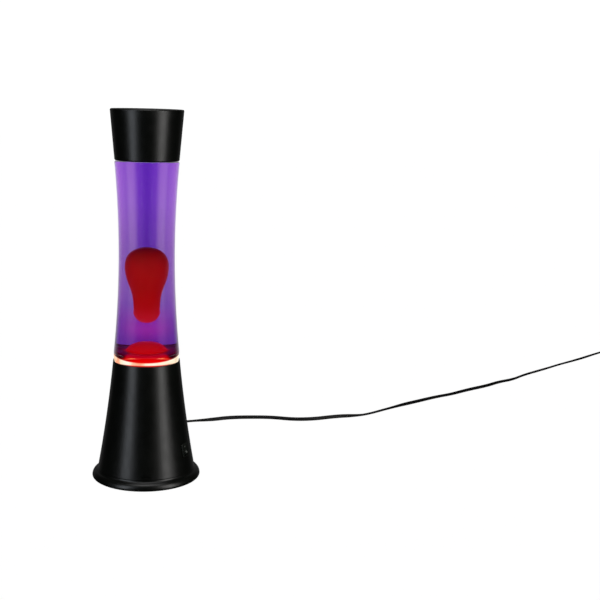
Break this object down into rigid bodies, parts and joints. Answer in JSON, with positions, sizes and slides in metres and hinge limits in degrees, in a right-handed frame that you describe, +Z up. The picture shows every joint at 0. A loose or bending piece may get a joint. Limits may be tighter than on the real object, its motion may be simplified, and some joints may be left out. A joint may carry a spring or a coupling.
{
  "type": "lava lamp",
  "caption": "Table lamp: a glass bottle of coloured liquid and drifting wax stands on a flared metal base with a bulb, rocker switch and mains cord, under a loose metal cap.",
  "frame": {"origin": "on the table, on the lamp's vertical axis, at the middle of its four feet", "axes": "+Z up along the lamp's axis, -Y towards the viewer, +X to the viewer's right; the cord leaves the back of the base towards +Y and runs off to +X"},
  "size_m": [0.9116, 0.6496, 0.395],
  "materials": {
    "black_enamel": "satin black stove enamel",
    "black_steel": "matte black paint on sheet steel",
    "zinc_steel": "zinc-plated steel",
    "black_rubber": "matte rubber",
    "clear_silicone": "translucent silicone",
    "holder_black": "moulded black bakelite",
    "white_ceramic": "unglazed ceramic",
    "brass": "bright brass",
    "bulb_glass": "frosted face, silvered sides",
    "bulb_stem_glass": "clear glass",
    "bulb_wire": "drawn wire",
    "bulb_shell": "rolled aluminium",
    "black_glass": "glossy black vitreous insulator",
    "solder": "tin solder",
    "bottle_glass": "clear glass",
    "violet_liquid": "clear violet liquid",
    "red_wax": "translucent red wax",
    "crown_metal": "lacquered tinplate",
    "liner_plastic": "soft plastic seal",
    "switch_black": "moulded black plastic",
    "cord_black": "black PVC cord",
    "wire_brown": "brown PVC",
    "wire_blue": "blue PVC",
    "pin_nickel": "nickel-plated brass"
  },
  "bodies": {
    "base": {"base_shell": "black_enamel", "seat_ring": "black_steel", "seat_gasket": "clear_silicone", "bottom_plate": "black_steel", "plate_screws": "zinc_steel", "foot_1": "black_rubber", "foot_2": "black_rubber", "foot_3": "black_rubber", "foot_4": "black_rubber", "holder_bridge": "zinc_steel", "bridge_screws": "zinc_steel", "bridge_nuts": "zinc_steel", "holder_body": "holder_black", "holder_core": "white_ceramic", "holder_contact": "brass", "holder_sleeve": "brass", "holder_nipple": "brass", "holder_nut": "zinc_steel", "switch_housing": "switch_black", "switch_terminals": "brass", "strain_relief": "cord_black", "relief_nut": "cord_black", "cord_tail": "cord_black", "wire_live": "wire_brown", "wire_switched": "wire_brown", "wire_neutral": "wire_blue", "cord": "cord_black", "cord_coil": "cord_black", "cord_lead": "cord_black", "plug_body": "cord_black", "plug_pins": "pin_nickel"},
    "bulb_tip": {"bulb_contact": "solder"},
    "bulb": {"bulb_glass": "bulb_glass", "bulb_stem": "bulb_stem_glass", "bulb_supports": "bulb_wire", "bulb_filament": "bulb_wire", "bulb_cap": "bulb_shell", "bulb_insulator": "black_glass"},
    "bottle": {"bottle_glass": "bottle_glass", "liquid": "violet_liquid", "wax_pool": "red_wax", "wire_coil": "zinc_steel", "crown_liner": "liner_plastic", "crown_cap": "crown_metal"},
    "wax": {"wax_blob": "red_wax"},
    "cap": {"cap_shell": "black_enamel"},
    "rocker": {"switch_rocker": "switch_black"}
  },
  "joints": [
    {"name": "bottle_lift", "type": "slide", "parent": "base", "child": "bottle", "axis": [0, 0, 1], "range_m": [0, 0.05]},
    {"name": "cap_lift", "type": "slide", "parent": "bottle", "child": "cap", "axis": [0, 0, 1], "range_m": [0, 0.06]},
    {"name": "wax_drift", "type": "slide", "parent": "bottle", "child": "wax", "axis": [0, 0, 1], "range_m": [-0.016, 0.088]},
    {"name": "bulb_rise", "type": "slide", "parent": "base", "child": "bulb_tip", "axis": [0, 0, 1], "range_m": [0, 0.0106]},
    {"name": "bulb_turn", "type": "hinge", "parent": "bulb_tip", "child": "bulb", "pos_m": [0, 0, 0.0495], "axis": [0, 0, 1], "range_deg": [0, 1350]},
    {"name": "rocker_tip", "type": "hinge", "parent": "base", "child": "rocker", "pos_m": [0.03901, -0.02533, 0.03581], "axis": [0.5446, 0.8387, 0], "range_deg": [0, 22]}
  ],
  "couplings": [
    {"joint": "bulb_rise", "follows": "bulb_turn", "m_per_rad": 0.00044882}
  ]
}
